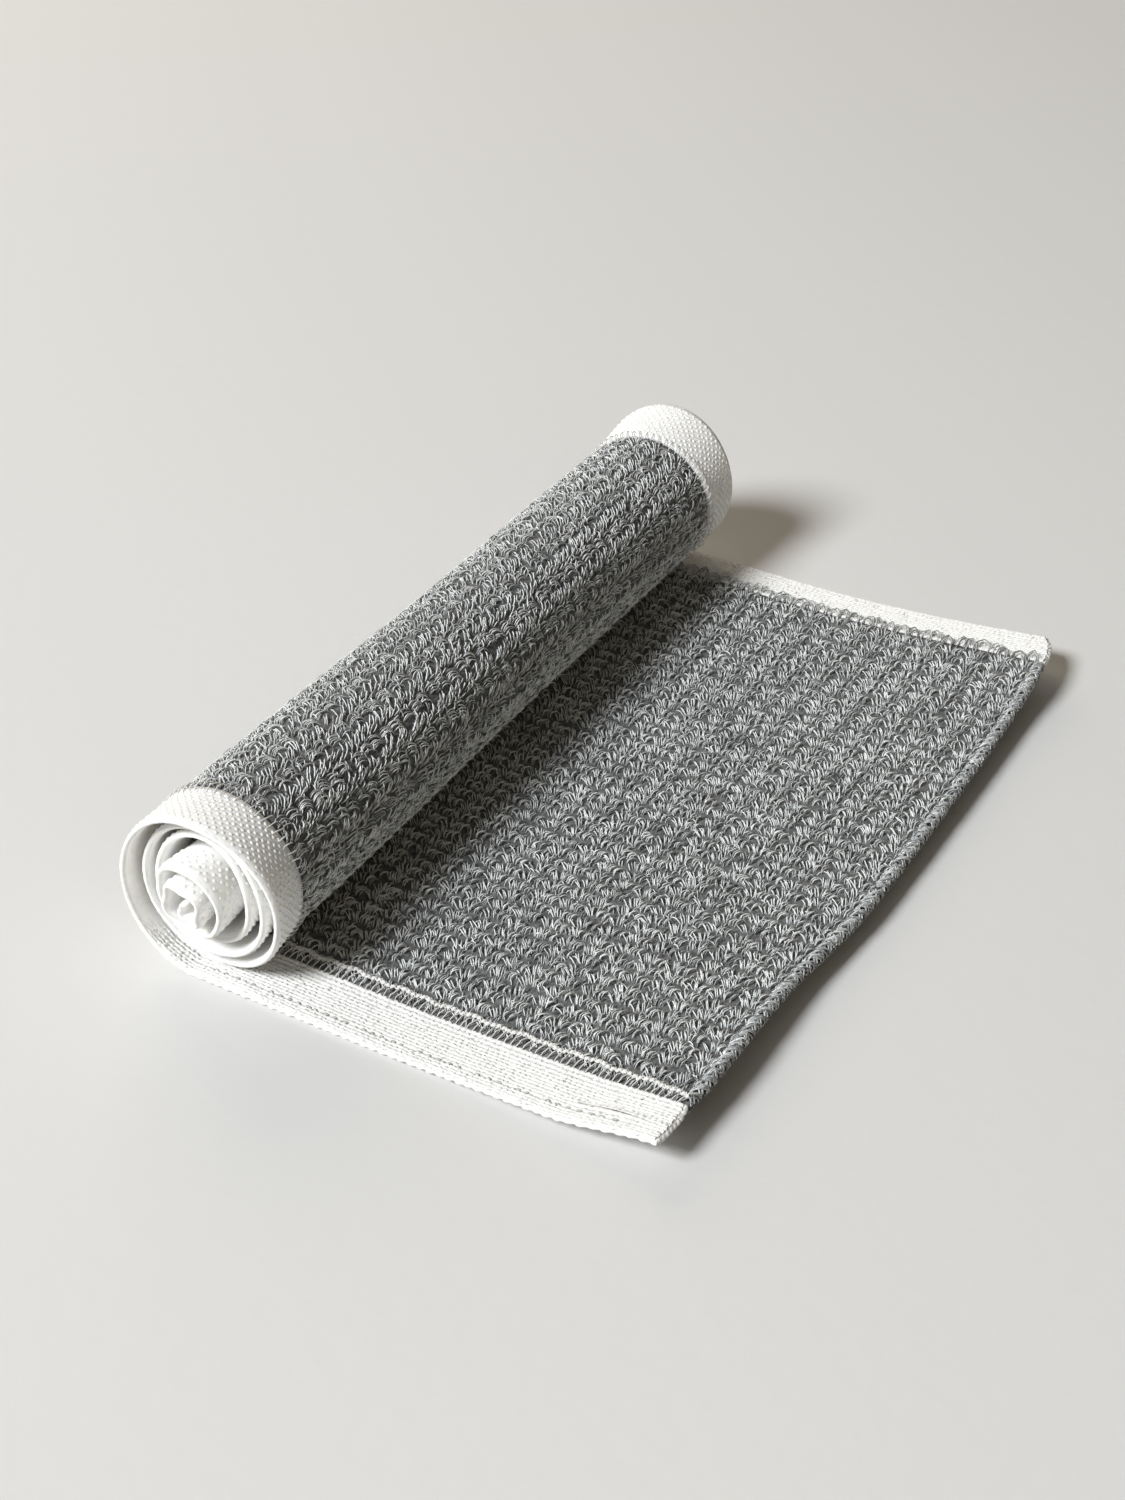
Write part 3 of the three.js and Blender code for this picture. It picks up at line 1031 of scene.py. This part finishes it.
def make_hole_shade(side, name):
    """Dark discs of painted shade, which stand for small hollows between the knots.

    They are a dotted line and a long slit by the corner, on the near side only, and a few strays.
    """
    random = np.random.default_rng(50 + side)
    line = np.arange(-FLAP_LENGTH + 12, -2, HOLE_PITCH)
    line = line[random.uniform(size=len(line)) < (HOLE_SHARE if side < 0 else 0)]
    count = NEAR_STRAYS if side < 0 else FAR_STRAYS
    place = np.concatenate([np.full(len(line), HOLE_LINE), random.choice(HOLE_ROWS, count)])
    line = line + random.normal(0, 0.25, len(line))
    s = np.concatenate([line, random.uniform(-FLAP_LENGTH + 3, -1, count)])
    long = np.concatenate([random.uniform(0.45, 0.8, len(line)), random.uniform(0.16, 0.34, count)])
    wide = np.concatenate([np.full(len(line), 0.22), np.full(count, 0.12)])
    ring = FULL_TURN * np.arange(HOLE_SIDES) / HOLE_SIDES
    places = place[:, None] + wide[:, None] * np.cos(ring)
    lengths = s[:, None] + long[:, None] * np.sin(ring)
    level = np.full(len(places), BORDER_THICK + 0.42)
    if side < 0:
        t = np.linspace(-1, 1, 5)
        t = np.concatenate([t, t[-2:0:-1]])
        half = np.repeat((1, -1), (5, 3))
        slit = SLIT_PLACE + 0.25 * t + 0.2 * half * (1 - t * t)
        places = np.concatenate([places, [slit]])
        lengths = np.concatenate([lengths, [-FLAP_LENGTH + SLIT_FROM_EDGE - SLIT_HALF * t]])
        level = np.append(level, BORDER_THICK + 0.5)
    levels = np.stack([level - 0.3, level], -1)[:, :, None]
    points = border_point(side, places[:, None, :] / ROWS_WIDTH, lengths[:, None, :], levels)
    under = np.arange(HOLE_SIDES)
    after = (under + 1) % HOLE_SIDES
    sides = np.stack([under, under + HOLE_SIDES, after + HOLE_SIDES, after], -1)
    shape = [under[::-1].tolist(), (under + HOLE_SIDES).tolist()] + sides[:, ::-1].tolist()
    faces = repeated_faces(shape, 2 * HOLE_SIDES, len(points), side > 0)
    return own(make_object(name, points, faces, HOLE_SHADE), "white_mesh")


def make_border(side, name, node):
    """The closed sheet of one white border."""
    s = cloth_stations()[None, :]
    outwards = np.linspace(0, 1, 13)[:, None]
    rim = RIM_ROUNDING * smooth(outwards, RIM_SHARE, 1)
    lower = border_point(side, outwards, s, rim + 0 * s)
    upper = border_point(side, outwards, s, border_top(s) - rim)
    if side < 0:
        lower, upper = lower[::-1], upper[::-1]
    border = slab(name, lower, upper, WHITE_MESH)
    return own(border, "white_mesh", node)


def make_dots(side, name, first, last, start=0):
    """Raised knots on the outer face of a rolled border, in rows set off by half a pitch."""
    random = np.random.default_rng(60 + side + start)
    rows = int((last - first) / DOT_PITCH * 2)
    columns = int((ROWS_WIDTH - DOT_MARGIN) / DOT_PITCH)
    grids = np.meshgrid(np.arange(rows), np.arange(start, columns), indexing="ij")
    row, column = (grid.ravel() for grid in grids)
    s = first + (row + 0.5) * DOT_PITCH / 2 + random.normal(0, DOT_STRAY_ALONG, len(row))
    place = column + FIRST_DOT + 0.5 * (row % 2) + random.normal(0, DOT_STRAY_ACROSS, len(row))
    outwards = place * DOT_PITCH / ROWS_WIDTH
    ring = FULL_TURN * np.arange(DOT_SIDES) / DOT_SIDES
    shape = [(math.cos(a), math.sin(a), -0.05) for a in ring]
    shape += [(0.6 * math.cos(a + 0.5), 0.6 * math.sin(a + 0.5), 0.75) for a in ring]
    shape += [(0, 0, 1)]
    shape = np.array(shape)
    dot_outwards = outwards[:, None] + shape[None, :, 0] * DOT_RADIUS / ROWS_WIDTH
    dot_s = s[:, None] + shape[None, :, 1] * DOT_RADIUS
    points = border_point(side, np.minimum(dot_outwards, 1), dot_s, -shape[None, :, 2] * DOT_HEIGHT)
    dome = []
    for k in range(DOT_SIDES):
        after = (k + 1) % DOT_SIDES
        dome.append((k, after, DOT_SIDES + after, DOT_SIDES + k))
        dome.append((DOT_SIDES + k, DOT_SIDES + after, 2 * DOT_SIDES))
    faces = repeated_faces(dome, len(shape), len(s), side < 0)
    return own(make_object(name, points, faces, ROLL_YARN_PAINTED_LIGHT), "white_mesh")


def line_along(name, point, first, last, step, radius, beads, material, seed, sides=6, swell=0.22):
    """A white line through point(s), for s from first to last, swollen at every step of beads."""
    random = np.random.default_rng(seed)
    s = np.arange(first, last, step)
    path = point(s)[None]
    up = np.zeros_like(path)
    up[..., 2] = 1
    along = np.gradient(path, axis=1)
    up[..., 0] = np.where(np.abs(along[..., 2]) > 0.3 * step, 1, 0)
    wide = radius * (1 + swell * np.sin(FULL_TURN * s / beads) + random.normal(0, 0.05, len(s)))
    piece = tubes(name, path, up, wide[None], material, np.full(1, WHITE_TONE), sides)
    return own(piece, "white_mesh")


field = make_field()
knit = make_knit()
border_near = make_border(-1, "border_near_cloth", "border_near")
border_far = make_border(1, "border_far_cloth", "border_far")
knit.append(make_free_edge())
near_junction = make_near_junction()
far_loops, far_stitches = make_far_junction()
knit.append(far_loops)
near_trim = near_junction + [
    make_border_edge(-1, "border_near_edge", 27),
    make_border_lines(-1, "border_near_lines"),
    make_hole_shade(-1, "border_near_hole_shade"),
    make_border_end(-1, "border_near_end", 31),
    make_dots(-1, "border_near_dots_roll", 4.0, OUTER_TURN),
    make_dots(-1, "border_near_dots_inside", OUTER_TURN, CLOTH_END - 3, INSIDE_FIRST_COLUMN),
]
far_trim = [
    far_stitches,
    make_border_edge(1, "border_far_edge", 28),
    make_border_lines(1, "border_far_lines"),
    make_hole_shade(1, "border_far_hole_shade"),
    make_border_end(1, "border_far_end", 32),
    make_dots(1, "border_far_dots_roll", 4.0, OUTER_TURN),
]


# Floor, lights and camera.

def make_floor():
    """The plain floor, just under the towel."""
    corners = np.array([(-1, -1), (1, -1), (1, 1), (-1, 1)]) * FLOOR_HALF
    corners = np.column_stack([corners, np.full(4, -FLOOR_GAP)])
    floor = make_object("floor", corners, [[0, 1, 2, 3]], floor_material())


def make_lights():
    """The room's even light, and the lamps in it."""
    world = bpy.data.worlds.new("room")
    bpy.context.scene.world = world
    world.use_nodes = True
    background = world.node_tree.nodes["Background"]
    background.inputs["Color"].default_value = ROOM_COLOUR
    background.inputs["Strength"].default_value = ROOM_STRENGTH
    for lamp in LAMPS:
        add_light(*lamp)


def add_light(name, way, distance, size, power, colour):
    """A round lamp that faces the towel."""
    light = bpy.data.lights.new(name, "AREA")
    light.shape = "DISK"
    light.size = size
    light.energy = power
    light.color = colour
    lamp = bpy.data.objects.new(name, light)
    way = Vector(way).normalized()
    lamp.location = way * distance
    lamp.rotation_mode = "QUATERNION"
    lamp.rotation_quaternion = way.to_track_quat("Z", "Y")
    bpy.context.scene.collection.objects.link(lamp)


def make_camera():
    """The camera that was fitted to the photo's straight edges."""
    azimuth = math.radians(CAMERA_AZIMUTH)
    elevation = math.radians(CAMERA_ELEVATION)
    back = Vector((
        math.sin(azimuth) * math.cos(elevation),
        -math.cos(azimuth) * math.cos(elevation),
        math.sin(elevation),
    ))
    right = Vector((0, 0, 1)).cross(back).normalized()
    up = back.cross(right)
    turn = Matrix((right, up, back)).transposed().to_4x4()
    data = bpy.data.cameras.new("camera")
    data.lens = CAMERA_LENS
    data.sensor_width = SENSOR
    data.sensor_fit = "AUTO"
    data.clip_start = 0.01
    data.clip_end = 50
    camera = bpy.data.objects.new("camera", data)
    camera.matrix_world = Matrix.Translation(Vector(CAMERA_PLACE) * MM) @ turn
    bpy.context.scene.collection.objects.link(camera)
    bpy.context.scene.camera = camera


make_floor()
make_lights()
make_camera()
bpy.context.scene.view_settings.view_transform = "Standard"
